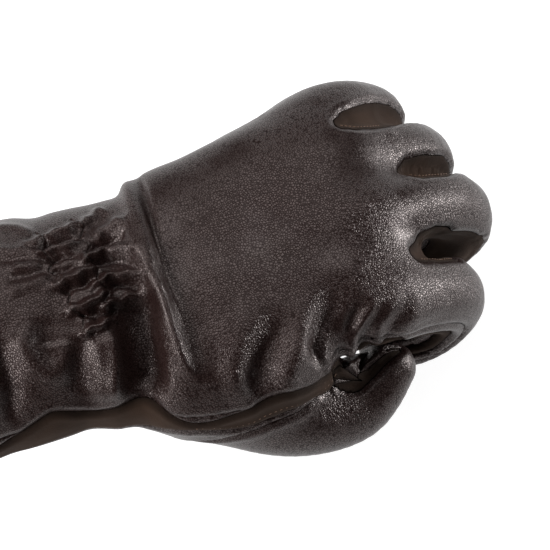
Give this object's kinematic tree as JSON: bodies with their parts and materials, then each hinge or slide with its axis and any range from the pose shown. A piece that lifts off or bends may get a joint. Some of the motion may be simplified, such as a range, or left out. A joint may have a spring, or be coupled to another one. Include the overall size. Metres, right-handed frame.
{
  "type": "glove",
  "caption": "Faux leather glove, left hand, in a loose fist, with a gathered wrist and cuff, and brown microsuede strips between the fingers and along the thumb side.",
  "frame": {"origin": "middle of the gathered wrist, on the axis of the cuff", "axes": "+X along the cuff's axis from the cuff to the knuckles, +Y towards the little finger's side, +Z out of the back of the hand"},
  "size_m": [0.1898, 0.1124, 0.0841],
  "materials": {
    "leather": "very dark brown faux leather, semi-gloss, fine pebbled grain",
    "suede": "brown microsuede, matt"
  },
  "bodies": {
    "root": {"back_panel": "leather", "palm_panel": "leather", "thumb_panel": "leather", "side_strip": "suede", "thumb_gusset": "suede", "index_strip": "suede", "fourchette_index_middle": "suede", "fourchette_middle_ring": "suede", "fourchette_ring_little": "suede", "fourchette_thumb": "suede"}
  },
  "joints": []
}
